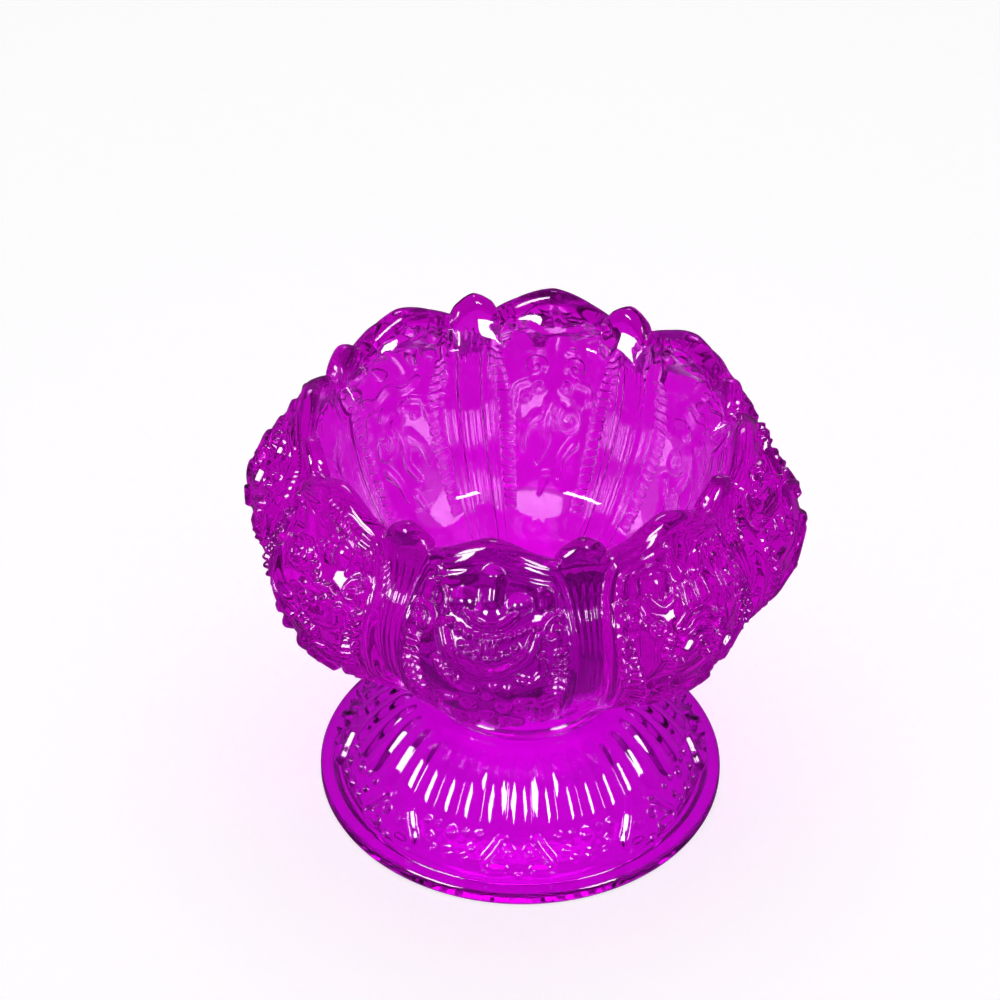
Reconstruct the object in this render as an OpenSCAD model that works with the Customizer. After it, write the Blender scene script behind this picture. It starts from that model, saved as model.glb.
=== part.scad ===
// Lotus candle holder in pressed glass.
// A thick bowl with eight large petals and eight small ones between them
// stands on a hollow bell foot. The bowl and the foot are pressed apart and
// joined hot on a small wafer of glass at the neck.
// Millimetres. The origin is on the table, under the axis, and +Z is up.
// A large petal faces -Y.

/* [Foot] */
// Radius of the foot at its rim
foot_r = 32; // [28:0.5:38]
// Height of the foot up to its seat for the wafer
foot_h = 18; // [15:0.2:24]
// Thickness of the plain rim that stands on the table
rim_h = 2.6; // [2:0.1:4]
// Width of the ledge between the rim's edge and the bell
rim_ledge = 1.8; // [1:0.1:3]
// Radius of the round on the rim's edges
rim_round = 0.9; // [0.3:0.1:1]
// Radius of the seat at the top of the bell
foot_seat_r = 13.2; // [10:0.2:14.5]
// How far the glass of the bell and rim reaches inwards from the rim's edge
foot_wall = 5.6; // [4:0.2:8]
// Height of the hollow under the foot
hollow_h = 11.5; // [6:0.5:13]
// Height of the flutes on the bell
flute_h = 0.5; // [0.2:0.1:1.4]

/* [Neck] */
// Radius of the wafer of glass between foot and bowl
wafer_r = 15.4; // [14.6:0.2:18]
// Thickness of the wafer
wafer_t = 2.6; // [1.6:0.2:4]
// Angle by which the foot is turned against the bowl
foot_turn = 7.5; // [0:0.5:22.5]

/* [Bowl] */
// Height of the bowl from its seat to the petal tips
bowl_h = 49.5; // [44:0.5:56]
// Radius of the seat under the bowl
bowl_seat_r = 13.4; // [10:0.2:14.5]
// Radius at the swell of the large petals
belly_r = 41.8; // [38:0.2:46]
// Height of the swell above the bowl's seat
belly_h = 32; // [28:0.5:34]
// Radius of the round of the swell
belly_round = 16; // [12:0.5:20]
// Radius at the tips of the petals
lip_r = 33.2; // [32:0.2:36]
// Radius of the cavity at its mouth
mouth_r = 27.6; // [25:0.2:29]
// Height of the mouth above the bowl's seat, where the petals flare from it
mouth_h = 41.5; // [38:0.5:43]
// Radius of the cavity just above its floor
well_r = 24.6; // [21:0.2:25]
// Radius of the round between the cavity's wall and floor
well_round = 5.5; // [1:0.5:6]
// Thickness of the glass under the cavity's floor
well_floor_t = 14.8; // [10:0.2:18]

/* [Petals] */
// Half width of a large petal where it leaves the seat, in degrees
petal_base_half = 18.5; // [15:0.5:21]
// Half width of a large petal at the swell, in degrees
petal_belly_half = 19.5; // [16:0.5:21]
// Half width of a large petal at the rim, in degrees
petal_rim_half = 14.4; // [11:0.2:17]
// How far a large petal stands out at its middle line
petal_crown = 3.6; // [1:0.2:5]
// Step from the edge of a large petal back to the small one
petal_step = 1.5; // [0.5:0.1:2.5]
// How far a small petal stands out at its middle line
small_crown = 0.5; // [0:0.1:1.5]
// How much lower the tips of the small petals are
small_drop = 0.4; // [0:0.1:2]
// Depth of the notches between the petals, below the tips
notch_h = 3.6; // [2:0.2:6]
// Radius of the round along the petals' rim
petal_round = 1.5; // [0.8:0.1:2]
// Height of the rib that borders a large petal's panel
border_h = 0.6; // [0.2:0.1:1.2]
// Height of the broad upright ribs between the large petals
stem_rib_h = 0.4; // [0:0.1:1]
// Height of the panel's top above the bowl's seat
panel_top_h = 45.6; // [43:0.2:46]
// Height above the bowl's seat where the panel starts to close
panel_arch_h = 27; // [22:0.2:30]

/* [Emblems] */
// Half width of the emblem and scrolls in a large petal's panel
emblem_half_w = 11.5; // [9:0.1:12.5]
// Height of the emblem, measured along the petal
emblem_h = 22; // [18:0.5:26]
// Distance of the emblem's top below the petal's tip, along the petal
emblem_drop = 3; // [2:0.1:4]
// Height of the relief at its boldest marks
emblem_relief_h = 1.2; // [0.6:0.1:2]

/* [Hidden] */

// Tint of the pressed glass
glass_tint = [0.72, 0.02, 0.74];
// One lotus petal in each eighth of the turn
petals = 8;
pitch = 360 / petals;
// Cuts run past the solid by this much
overrun = 2;

// Heights above the table
wafer_z = foot_h;
bowl_z = foot_h + wafer_t;
mouth_z = bowl_z + mouth_h;
tip_z = bowl_z + bowl_h;
well_z = bowl_z + well_floor_t;

// Small helpers
function clamp01(t) = max(0, min(1, t));
function ease(t) = (1 - cos(180 * clamp01(t))) / 2;
function mix(a, b, t) = a + (b - a) * t;
// A rounded rib of height 1 at n0, with its feet half_width away on both sides
function rib(n, n0, half_width) = pow(max(0, 1 - pow((n - n0) / half_width, 2)), 2);

// Points on an arc about a centre, for outlines
function arc(centre, r, from, to, steps) =
    [for (i = [0 : steps]) centre + r * [cos(mix(from, to, i / steps)), sin(mix(from, to, i / steps))]];

// Triangles between neighbouring rows of a closed skin, then its two caps.
// Every row has the same number of columns. Two centre points end the list.
function skin_faces(rows, columns) = concat(
    [for (i = [0 : rows - 2], j = [0 : columns - 1])
        let (a = i * columns + j, b = i * columns + (j + 1) % columns)
            each [[a, a + columns, b], [b, a + columns, b + columns]]],
    [for (j = [0 : columns - 1]) [rows * columns, j, (j + 1) % columns]],
    [for (j = [0 : columns - 1])
        let (top = (rows - 1) * columns) [rows * columns + 1, top + (j + 1) % columns, top + j]]
);

// A point at an angle measured from -Y towards +X
function polar(r, angle, z) = [r * sin(angle), -r * cos(angle), z];

// The foot
// Where the bell meets the ledge of the rim
bell_r = foot_r - rim_ledge;
// Angles of the columns in half a foot petal, as shares of half the pitch,
// with the height of the flutes there as shares of flute_h
flute_angle_share = [0.09, 0.2, 0.31, 0.49, 0.6, 0.71, 0.89, 1];
flute_height_share = [1, 0, 1, 1, 0, 0.9, 0.9, 0];
// The flutes fade over these shares of the bell, at the neck and at the rim
flute_neck_share = 0.35;
flute_rim_share = 0.2;
bell_rows = 10;
// Handles of the bell's curve, as shares of its radial run and of its height
bell_top_handle_share = [0.42, 0.09];
bell_low_handle_share = [0.95, 0.5];

function bell_point(t) =
    let (
        top = [foot_seat_r, foot_h],
        low = [bell_r, rim_h],
        run = [bell_r - foot_seat_r, rim_h - foot_h],
        h1 = top + [run[0] * bell_top_handle_share[0], run[1] * bell_top_handle_share[1]],
        h2 = top + [run[0] * bell_low_handle_share[0], run[1] * bell_low_handle_share[1]],
        s = 1 - t
    )
    pow(s, 3) * top + 3 * s * s * t * h1 + 3 * s * t * t * h2 + pow(t, 3) * low;

// Columns of one foot petal: signed share of the half pitch and flute height
flute_columns = concat(
    [for (i = [len(flute_angle_share) - 2 : -1 : 0]) [-flute_angle_share[i], flute_height_share[i]]],
    [for (i = [0 : len(flute_angle_share) - 1]) [flute_angle_share[i], flute_height_share[i]]]
);
foot_columns = [for (p = [0 : petals - 1], c = flute_columns)
    [p * pitch + c[0] * pitch / 2, c[1]]];

// Flutes swell on the shoulder of the bell and fade at the neck and the rim
function flute_swell(t) = ease(t / flute_neck_share) * ease((1 - t) / flute_rim_share);

module bell() {
    rows = concat(
        [for (i = [0 : bell_rows]) i / bell_rows],
        [1]
    );
    function level(i) = i > bell_rows ? [bell_r, rim_h / 2] : bell_point(rows[i]);
    n = len(rows);
    points = [
        for (i = [n - 1 : -1 : 0], c = foot_columns)
            polar(level(i)[0] + flute_h * c[1] * flute_swell(rows[i]), c[0], level(i)[1])
    ];
    polyhedron(
        concat(points, [[0, 0, rim_h / 2], [0, 0, foot_h]]),
        skin_faces(n, len(foot_columns))
    );
}

module foot_rim() {
    rotate_extrude($fn = 96)
        polygon(concat(
            [[0, 0]],
            arc([foot_r - rim_round, rim_round], rim_round, -90, 0, 3),
            arc([foot_r - rim_round, rim_h - rim_round], rim_round, 0, 90, 3),
            [[0, rim_h]]
        ));
}

module foot_hollow() {
    hollow_r = foot_r - foot_wall;
    rotate_extrude($fn = 96)
        polygon(concat(
            [[0, -overrun], [hollow_r, -overrun]],
            [for (a = [0 : 10 : 90]) [hollow_r * cos(a), hollow_h * sin(a)]]
        ));
}

module foot() {
    color(glass_tint)
        rotate([0, 0, foot_turn])
            difference() {
                union() {
                    foot_rim();
                    bell();
                }
                foot_hollow();
            }
}

// The wafer
module neck_wafer() {
    edge = wafer_t / 2;
    color(glass_tint)
        translate([0, 0, wafer_z])
            rotate_extrude($fn = 96)
                polygon(concat(
                    [[0, 0]],
                    arc([wafer_r - edge, edge], edge, -90, 90, 8),
                    [[0, wafer_t]]
                ));
}

// The bowl
// Columns across a petal and half of each neighbour. From -1 to 1 they cross
// the large petal, and beyond that they reach the middle of the small ones.
half_column_share = [0.085, 0.17, 0.255, 0.34, 0.425, 0.51, 0.595, 0.68, 0.765, 0.85, 0.93, 1, 1.5];
bowl_columns = concat(
    [for (i = [len(half_column_share) - 1 : -1 : 0]) -half_column_share[i]],
    [0],
    half_column_share,
    [2]
);
// The rib round the panel, as a share of its half width and of its arched
// part's height, and half the rib's width
border_rib_share = 0.93;
border_rib_half_share = 0.07;
// The upright rib on a small petal's stem, in the same count as the columns
stem_rib_share = 1.5;
stem_rib_half_share = 0.5;
// The stem ribs fade out below the rim, over this share of the arch
stem_fade_share = 0.5;
// Heights over which the borders and the petals' form fade in from the seat
border_fade_h = 12;
swell_fade_h = 20;
// The petals' form fades out towards the tips, over this share of the arch
swell_top_share = 0.5;
// Rows of the outside, below the panel's arch and in it
underside_row_share = [0, 0.22, 0.42, 0.6, 0.75, 0.88, 1];
panel_row_share = [0.08, 0.16, 0.24, 0.32, 0.4, 0.48, 0.56, 0.64, 0.72, 0.79, 0.86, 0.93, 1];
// How fast the petals close towards the rim, and how pointed their tips are
close_power = 3;
large_tip_power = 1.45;
small_tip_power = 1.5;

// Outline of the large petal's middle line: a straight underside, tangent to
// the round of the swell, which then draws in to the lip
swell_centre = [belly_r - belly_round, belly_h];
to_swell = swell_centre - [bowl_seat_r, 0];
underside_angle = atan2(to_swell[1], to_swell[0]) - asin(belly_round / norm(to_swell));
tangent_h = belly_h - belly_round * cos(underside_angle);

function outline_r(h) =
    h < tangent_h ? bowl_seat_r + h / tan(underside_angle)
    : h < belly_h ? swell_centre[0] + sqrt(pow(belly_round, 2) - pow(h - belly_h, 2))
    : mix(belly_r, lip_r, ease((h - belly_h) / (bowl_h - belly_h)));

// Half width of a large petal at a height above the seat, in degrees
function petal_half(h) =
    h < belly_h ? mix(petal_base_half, petal_belly_half, ease(h / belly_h))
    : mix(petal_belly_half, petal_rim_half,
        pow(clamp01((h - belly_h) / (bowl_h - notch_h - belly_h)), close_power));

// How much of the petals' form shows at a height: none at the seat and tips
function petal_swell(h) =
    ease(h / swell_fade_h) * ease((bowl_h - h) / ((bowl_h - panel_arch_h) * swell_top_share));

// How far the surface stands out from the outline at a column c
function petal_form(c, h) =
    petal_swell(h) * (abs(c) <= 1 ? -petal_crown * c * c
        : small_crown * (1 - pow(2 - abs(c), 2)) - petal_crown - petal_step);

// Ribs at a column c, a height h and a share s of the way up the arch. The
// panel's border is where the larger of c and s is 1.
function ribs(c, h, s) =
    abs(c) <= 1
    ? border_h * ease(h / border_fade_h) * rib(max(abs(c), s), border_rib_share, border_rib_half_share)
    : stem_rib_h * ease(h / belly_h) * ease((1 - s) / stem_fade_share)
        * rib(abs(c), stem_rib_share, stem_rib_half_share);

function column_angle(c, h) =
    sign(c) * (abs(c) <= 1 ? abs(c) * petal_half(h)
        : mix(petal_half(h), pitch / 2, abs(c) - 1));

// Height of the rim above the seat: an arch over each petal, notched between
function crest(c) =
    abs(c) <= 1 ? mix(bowl_h, bowl_h - notch_h, pow(abs(c), large_tip_power))
    : mix(bowl_h - small_drop, bowl_h - notch_h, pow(2 - abs(c), small_tip_power));

// Rows up to the panel's arch are level. In the arch they bend more and more
// to follow the crest, and the lip's rows run on to the rim's round.
function arch_row_h(c, s) = mix(panel_arch_h, panel_top_h, s) - (bowl_h - crest(c)) * s;
function lip_row_h(c, s) = mix(arch_row_h(c, 1), crest(c) - petal_round, s);
lip_rows = 1;
round_steps = 4;

// Relief of the panels. A mark is [half width, height, path]: a rounded bar
// along its path, or a boss where that is one point. Half widths and places
// across are shares of emblem_half_w, heights of emblem_relief_h, and places
// down the petal of emblem_h.
function both_sides(marks) = concat(
    marks,
    [for (m = marks) [m[0], m[1], [for (v = m[2]) [-v[0], v[1]]]]]
);

// Fingers, curls and ropes at the sides, the same on every panel
scroll_share = both_sides([
    [0.2, 0.7, [[0.76, 0.24], [0.84, 0.33]]],
    [0.2, 0.75, [[0.82, 0.51]]],
    [0.2, 0.5, [[0.87, 0.72], [0.82, 1], [0.76, 1.3], [0.7, 1.6]]]
]);
// A leaf at the foot of the panel
leaf_share = [
    [0.34, 0.65, [[0, 1.14], [0, 1.42]]]
];
// A jewel on a saucer, over a bowl
jewel_bowl_share = [
    [0.22, 1, [[0.03, 0.12], [0.03, 0.24]]],
    [0.21, 0.95, [[-0.48, 0.36], [-0.25, 0.47], [0.3, 0.47], [0.52, 0.36]]],
    [0.24, 0.8, [[-0.3, 0.72], [0.03, 0.8], [0.35, 0.72]]]
];
// An open lotus over its stem
lotus_share = [
    [0.28, 0.95, [[-0.42, 0.26]]],
    [0.24, 0.9, [[0.36, 0.2]]],
    [0.28, 1, [[0, 0.45], [0.04, 0.52]]],
    [0.21, 0.8, [[-0.42, 0.7], [0, 0.82], [0.42, 0.7]]]
];
// A conch shell on a garland
conch_share = [
    [0.32, 1, [[-0.08, 0.32]]],
    [0.21, 0.8, [[0.38, 0.16], [0.54, 0.36], [0.3, 0.52]]],
    [0.21, 0.8, [[-0.5, 0.56], [-0.18, 0.76], [0.38, 0.76]]]
];
// A parasol on its staff
parasol_share = [
    [0.23, 1, [[-0.5, 0.36], [-0.26, 0.18], [0.26, 0.18], [0.5, 0.36]]],
    [0.2, 0.85, [[0, 0.34], [0, 0.86]]]
];
// Two fish nose to nose over a wave
golden_fish_share = concat(both_sides([
    [0.22, 1, [[0.24, 0.14], [0.32, 0.34], [0.24, 0.54]]]
]), [
    [0.21, 0.75, [[-0.4, 0.8], [0.4, 0.8]]]
]);
// A wheel on its ribbon
wheel_share = concat(both_sides([
    [0.19, 1, [[0, 0.11], [0.36, 0.2], [0.36, 0.44], [0, 0.53]]]
]), [
    [0.18, 0.85, [[0, 0.32]]],
    [0.21, 0.75, [[-0.42, 0.74], [0, 0.82], [0.42, 0.74]]]
]);
// A knot of bands
endless_knot_share = concat(both_sides([
    [0.19, 0.95, [[0, 0.1], [0.46, 0.35], [0, 0.6]]]
]), [
    [0.18, 0.8, [[0, 0.35]]],
    [0.22, 0.75, [[0, 0.84]]]
]);
// A banner in tiers
banner_share = [
    [0.19, 0.9, [[-0.3, 0.14], [0.3, 0.14]]],
    [0.19, 0.9, [[-0.36, 0.36], [0.36, 0.36]]],
    [0.19, 0.9, [[-0.3, 0.58], [0.3, 0.58]]],
    [0.2, 0.75, [[0, 0.74], [0, 0.88]]]
];
// One emblem on each large petal, from -Y towards +X
emblems_share = [
    jewel_bowl_share,
    lotus_share,
    endless_knot_share,
    parasol_share,
    wheel_share,
    golden_fish_share,
    banner_share,
    conch_share
];
// The same marks in millimetres, with what every panel has
panel_marks = [for (p = [0 : petals - 1])
    [for (m = concat(emblems_share[p % len(emblems_share)], scroll_share, leaf_share))
        [
            m[0] * emblem_half_w,
            m[1] * emblem_relief_h,
            [for (v = m[2]) [v[0] * emblem_half_w, emblem_drop + v[1] * emblem_h]]
        ]
    ]
];
// The emblem's widths are true at this radius
emblem_r = belly_r - petal_crown / 2;
// The relief ends at the border, and fades there over this share of the panel
emblem_edge_share = 0.87;
emblem_fade_share = 0.1;

// Lengths along the outline from the seat up, by height
outline_steps = 60;
outline_step = bowl_h / outline_steps;
outline_table = [for (
    i = 0, l = 0;
    i <= outline_steps;
    i = i + 1,
    l = l + norm([outline_r(i * outline_step) - outline_r((i - 1) * outline_step), outline_step])
) [i * outline_step, l]];
function down_petal(h) = outline_table[outline_steps][1] - lookup(h, outline_table);
function outline_slope(h) = (outline_r(h + outline_step) - outline_r(h - outline_step)) / (2 * outline_step);

function to_segment(q, a, b) =
    let (
        d = b - a,
        run = d * d,
        t = run > 0 ? clamp01((q - a) * d / run) : 0
    )
    norm(q - a - t * d);

function mark_height(m, q) =
    let (
        path = m[2],
        last = len(path) - 1,
        away = min([for (i = [0 : max(0, last - 1)]) to_segment(q, path[i], path[min(i + 1, last)])])
    )
    m[1] * rib(away, 0, m[0]);

function emblem(p, c, s, angle, h) =
    let (q = [emblem_r * angle * PI / 180, down_petal(h)])
    abs(c) > emblem_edge_share || s > 1 ? 0
    : max([for (m = panel_marks[p]) mark_height(m, q)])
        * ease((emblem_edge_share - abs(c)) / emblem_fade_share) * ease((1 - s) / emblem_fade_share);

function skin_point(column, h, s, inwards = 0) =
    let (
        c = column[1],
        angle = column_angle(c, h),
        relief = ribs(c, h, s) + emblem(column[0], c, s, angle, h),
        slope = outline_slope(h),
        lift = relief / norm([1, slope])
    )
    polar(outline_r(h) + petal_form(c, h) + lift - inwards, column[0] * pitch + angle, bowl_z + h - lift * slope);

// The rim's round at angle a: 0 on the outside, 90 on top, 180 inside
function rim_point(column, a) =
    skin_point(column, crest(column[1]) - petal_round, 2, petal_round * (1 - cos(a)))
    + [0, 0, petal_round * sin(a)];

module petal_block() {
    // Each column is [number of its petal, place across it]
    columns = [for (p = [0 : petals - 1], c = bowl_columns) [p, c]];
    points = concat(
        [for (s = underside_row_share, k = columns) skin_point(k, panel_arch_h * s, 0)],
        [for (s = panel_row_share, k = columns) skin_point(k, arch_row_h(k[1], s), s)],
        [for (i = [1 : lip_rows], k = columns) skin_point(k, lip_row_h(k[1], i / (lip_rows + 1)), 2)],
        [for (i = [0 : round_steps], k = columns) rim_point(k, 180 * i / round_steps)],
        [for (k = columns)
            polar(mouth_r - overrun, k[0] * pitch + column_angle(k[1], bowl_h), mouth_z - overrun)]
    );
    rows = len(underside_row_share) + len(panel_row_share) + lip_rows + round_steps + 2;
    polyhedron(
        concat(points, [[0, 0, bowl_z], [0, 0, mouth_z - overrun]]),
        skin_faces(rows, len(columns))
    );
}

// The plunger that presses the cavity
module plunger() {
    draft = atan2(mouth_r - well_r, mouth_z - well_z);
    rise = tip_z + overrun - well_z;
    rotate_extrude($fn = 96)
        polygon(concat(
            [[0, well_z]],
            arc([well_r - well_round, well_z + well_round], well_round, -90, -draft, 6),
            [[well_r + rise * tan(draft), tip_z + overrun], [0, tip_z + overrun]]
        ));
}

module bowl() {
    color(glass_tint)
        difference() {
            petal_block();
            plunger();
        }
}

foot();
neck_wafer();
bowl();
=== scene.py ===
import math

import bpy
import numpy as np
from mathutils import Matrix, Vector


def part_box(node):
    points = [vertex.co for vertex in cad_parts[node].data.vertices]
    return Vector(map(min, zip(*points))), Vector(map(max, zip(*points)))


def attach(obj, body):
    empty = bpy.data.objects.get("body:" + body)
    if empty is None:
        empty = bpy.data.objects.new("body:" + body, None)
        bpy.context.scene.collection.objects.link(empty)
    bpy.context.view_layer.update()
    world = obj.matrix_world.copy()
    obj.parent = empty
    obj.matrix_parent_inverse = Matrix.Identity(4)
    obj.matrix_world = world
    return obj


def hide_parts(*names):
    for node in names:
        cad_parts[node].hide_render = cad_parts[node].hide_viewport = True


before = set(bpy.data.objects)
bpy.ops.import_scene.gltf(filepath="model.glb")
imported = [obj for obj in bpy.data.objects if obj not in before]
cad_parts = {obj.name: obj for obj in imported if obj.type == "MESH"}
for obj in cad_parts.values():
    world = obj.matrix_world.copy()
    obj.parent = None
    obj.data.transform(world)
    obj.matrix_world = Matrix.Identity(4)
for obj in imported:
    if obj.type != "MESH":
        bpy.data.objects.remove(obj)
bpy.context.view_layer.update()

# Lotus candle holder in magenta pressed glass. Each of the three solids is
# replaced by a closed skin of the same form with the pressed relief on it.
# Shapes are worked out in millimetres and become metres in build_skin.
MM = 0.001
PETALS = 8
PITCH = 360 / PETALS

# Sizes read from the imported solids
bowl_low, bowl_high = (np.array(corner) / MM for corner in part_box("bowl"))
foot_high = np.array(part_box("foot")[1]) / MM
BOWL_Z = bowl_low[2]
BOWL_H = bowl_high[2] - BOWL_Z
FOOT_R = foot_high[0]
FOOT_H = foot_high[2]
# Air between neighbouring glass faces, thinner than the eye can see
FACE_GAP = 0.02

# Bowl, with the solid's own sizes. Heights are above its seat, and the half
# widths of a petal are in degrees.
BOWL_SEAT_R = 13.4
BELLY_R = 41.8
BELLY_H = 32
BELLY_ROUND = 16
LIP_R = 33.2
MOUTH_R = 27.6
MOUTH_H = 41.5
WELL_R = 24.6
WELL_ROUND = 5.5
WELL_FLOOR_T = 14.8
PETAL_BASE_HALF = 18.5
PETAL_BELLY_HALF = 19.5
PETAL_RIM_HALF = 14.4
PETAL_CROWN = 3.6
PETAL_STEP = 1.5
SMALL_CROWN = 0.5
SMALL_DROP = 0.4
NOTCH_H = 3.6
PETAL_ROUND = 1.5
PANEL_ARCH_H = 27
SWELL_FADE_H = 20
SWELL_TOP_SHARE = 0.5
BORDER_FADE_H = 12
CLOSE_POWER = 3
LARGE_TIP_POWER = 1.45
SMALL_TIP_POWER = 1.5
# The panels reach a little nearer the rim than in the solid
PANEL_TOP_H = 49

# The raised lines round a panel: their height, each one's place and half
# width as shares of the panel's half width, the share over which they rise
# from its middle, and the share where they end
LINE_H = 0.6
LINES = ((0.84, 0.07), (0.95, 0.07))
LINE_RISE = 0.6
LINE_END = 1.02
# The reeds beside it, counted in the same shares and on to 2 in the middle of
# a small petal, and the share of the arch where they end and fade
REED_H = 0.32
REEDS = ((1.3, 0.3), (1.8, 0.35))
REED_TOP = 1.05
REED_FADE = 0.5
# How far the panel lies back between its lines
PANEL_SINK = 0.5
# Shares of the half width where the sunk floor, the relief and the large
# petal end, and the share over which each fades
SINK_EDGE = 0.86
RELIEF_EDGE = 0.93
PETAL_EDGE = 0.97
EDGE_FADE = 0.1
# Share of their written heights at which the panels' marks stand
RELIEF_SCALE = 0.8
# Radius at which the panels' marks have their true width
PANEL_R = 40

# Foot and wafer, with the solids' own sizes
FOOT_TURN = 7.5
RIM_H = 2.6
RIM_LEDGE = 1.8
RIM_ROUND = 0.9
FOOT_SEAT_R = 13.2
FOOT_WALL = 5.6
HOLLOW_H = 11.5
WAFER_R = 15.4
BELL_R = FOOT_R - RIM_LEDGE
# Handles of the bell's curve, as shares of its radial run and of its height.
# It turns a little sooner than in the solid, for its highlights.
BELL_TOP_HANDLE = (0.45, 0.01)
BELL_LOW_HANDLE = (0.71, 0.48)
# Radius at which the foot's marks have their true width
ORNAMENT_R = 27
# The hollow's rings end at this angle, a little off the axis
HOLLOW_END = 88
# Distances of a ring on the rim's underside from the hollow, and of one on
# its ledge from the bell
UNDER_RING = 0.6
LEDGE_RING = 0.2

# Columns of the skins in one petal, and rows up the outside
BOWL_COLUMNS = 150
BOWL_ROWS = 240
FOOT_COLUMNS = 120
FOOT_ROWS = 100
WAFER_COLUMNS = 192
# The bowl's rows are level up to this height, and then bend to the crest
LEVEL_H = 16
BEND_PASSES = 4
OUTLINE_STEPS = 2000
# Steps over the rim and down the petals' inner faces
RIM_STEPS = 12
FLARE_STEPS = 16
# Steps down the cavity's wall and round the edge of its floor
WALL_STEPS = 24
WELL_STEPS = 12
# Steps over the foot's hollow, round its rim's edges and round the wafer
HOLLOW_STEPS = 39
EDGE_STEPS = 6
WAFER_STEPS = 16
# Radii of the rings on flat faces, as shares of the face's radius
BOWL_SEAT_SHARES = (0.3, 0.65, 0.97)
FOOT_SEAT_SHARES = (0.95, 0.6, 0.3)
WAFER_FACE_SHARES = (0.3, 0.7, 1)
WELL_FLOOR_SHARES = (0.8, 0.55, 0.3, 0.1)


def clamp01(t):
    return np.clip(t, 0, 1)


def ease(t):
    return (1 - np.cos(np.pi * clamp01(t))) / 2


def mix(a, b, t):
    return a + (b - a) * t


def dome(q, power=1.2):
    """A rounded bump of height 1 at q = 0 with its foot at q = 1."""
    return np.maximum(0, 1 - q * q) ** power


def ridges(q, places):
    """Rounded ridges of height 1, each at a place with its feet half away."""
    return sum(dome((q - at) / half, 1.5) for at, half in places)


def polar(r, angle, z):
    """Points at an angle in degrees from -Y towards +X."""
    a = np.radians(angle)
    return np.stack(np.broadcast_arrays(r * np.sin(a), -r * np.cos(a), z), axis=-1)


def arc_points(centre_r, centre_z, radius, start, end, steps):
    """(r, z) pairs on an arc, with the start and end angles in degrees."""
    angles = np.radians(np.linspace(start, end, steps + 1))
    return [(centre_r + radius * math.cos(a), centre_z + radius * math.sin(a)) for a in angles]


# Meshes

# Slots of a skin's materials
OUTSIDE = 0
JOINT = 1
INSIDE = 2
# Points nearer than this to a joint's plane and edge lie in the joint
JOINT_REACH = 0.001


def build_skin(name, rings, outer_rings, joints):
    """A closed mesh from rings of points, each (columns, 3), from the axis
    below round the outside to the axis above. The two ends close in a fan.
    Faces within a joint, a (radius, height) pair, get the joint's slot, and
    those beyond the outer rings the slot of the inside."""
    columns = len(rings[0])
    points = np.concatenate(rings + [rings[0].mean(axis=0)[None], rings[-1].mean(axis=0)[None]])
    low_tip = len(rings) * columns
    last = low_tip - columns
    j = np.arange(columns)
    k = (j + 1) % columns
    quads = np.concatenate([
        np.stack([a + j, a + k, a + columns + k, a + columns + j], axis=1)
        for a in range(0, last, columns)
    ])
    fans = np.concatenate([
        np.stack([np.full(columns, low_tip), k, j], axis=1),
        np.stack([np.full(columns, low_tip + 1), last + j, last + k], axis=1),
    ])
    slots = np.where(np.arange(len(quads)) < outer_rings * columns, OUTSIDE, INSIDE)
    slots = np.concatenate([slots, np.full(columns, OUTSIDE), np.full(columns, slots[-1])])
    for radius, height in joints:
        flat = np.abs(points[:, 2] - height) < JOINT_REACH
        flat &= np.hypot(points[:, 0], points[:, 1]) < radius + JOINT_REACH
        slots[np.concatenate([flat[quads].all(axis=1), flat[fans].all(axis=1)])] = JOINT
    mesh = bpy.data.meshes.new(name)
    mesh.from_pydata((points * MM).tolist(), [], quads.tolist() + fans.tolist())
    mesh.shade_smooth()
    mesh.polygons.foreach_set("material_index", slots.astype(np.int32))
    piece = bpy.data.objects.new(name, mesh)
    bpy.context.scene.collection.objects.link(piece)
    return piece


def level_rings(profile, angles):
    """Round rings from (r, z) pairs."""
    return [polar(r, angles, z) for r, z in profile]


def column_angles(columns):
    """Angles of a skin's columns, and how far each lies from the middle line
    of its petal, both in degrees."""
    angle = np.arange(PETALS * columns) / columns * PITCH
    return angle, (angle + PITCH / 2) % PITCH - PITCH / 2


def petal_columns(p, columns):
    """The columns of petal p, from its left edge to its right one."""
    return (np.arange(columns) - columns // 2 + p * columns) % (PETALS * columns)


# Relief marks. A mark is a function of (x, y) that gives a height, with the
# corners of the box that holds it. On the bowl x is millimetres across a
# petal at PANEL_R, and y millimetres down the outline from the petal's tip.

# Steps of a rounded path between two of its points
PATH_STEPS = 8
# Half the stretch over which a path's direction is taken
WAY_REACH = 0.1
# Least squared length of a stroke, so that nothing is divided by zero
LEAST_RUN = 1e-9
# Power that melts marks together where they meet
MELT_POWER = 4
# Points of a curl and of a ring, the share of its radius by which a curl
# winds in, and the width of its inner end as a share of the outer one's
CURL_POINTS = 28
RING_POINTS = 33
CURL_WIND = 0.72
CURL_TAPER = 0.8


def smooth_path(points):
    """A rounded path through the points (Catmull-Rom)."""
    p = np.array(points, float)
    if len(p) < 3:
        return p
    p = np.concatenate([[2 * p[0] - p[1]], p, [2 * p[-1] - p[-2]]])
    t = np.linspace(0, 1, PATH_STEPS, endpoint=False)[:, None]
    out = []
    for a, b, c, d in zip(p, p[1:], p[2:], p[3:]):
        out.append(0.5 * (2 * b + (c - a) * t + (2 * a - 5 * b + 4 * c - d) * t**2
                          + (3 * b - a - 3 * c + d) * t**3))
    return np.concatenate(out + [p[-2:-1]])


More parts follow.
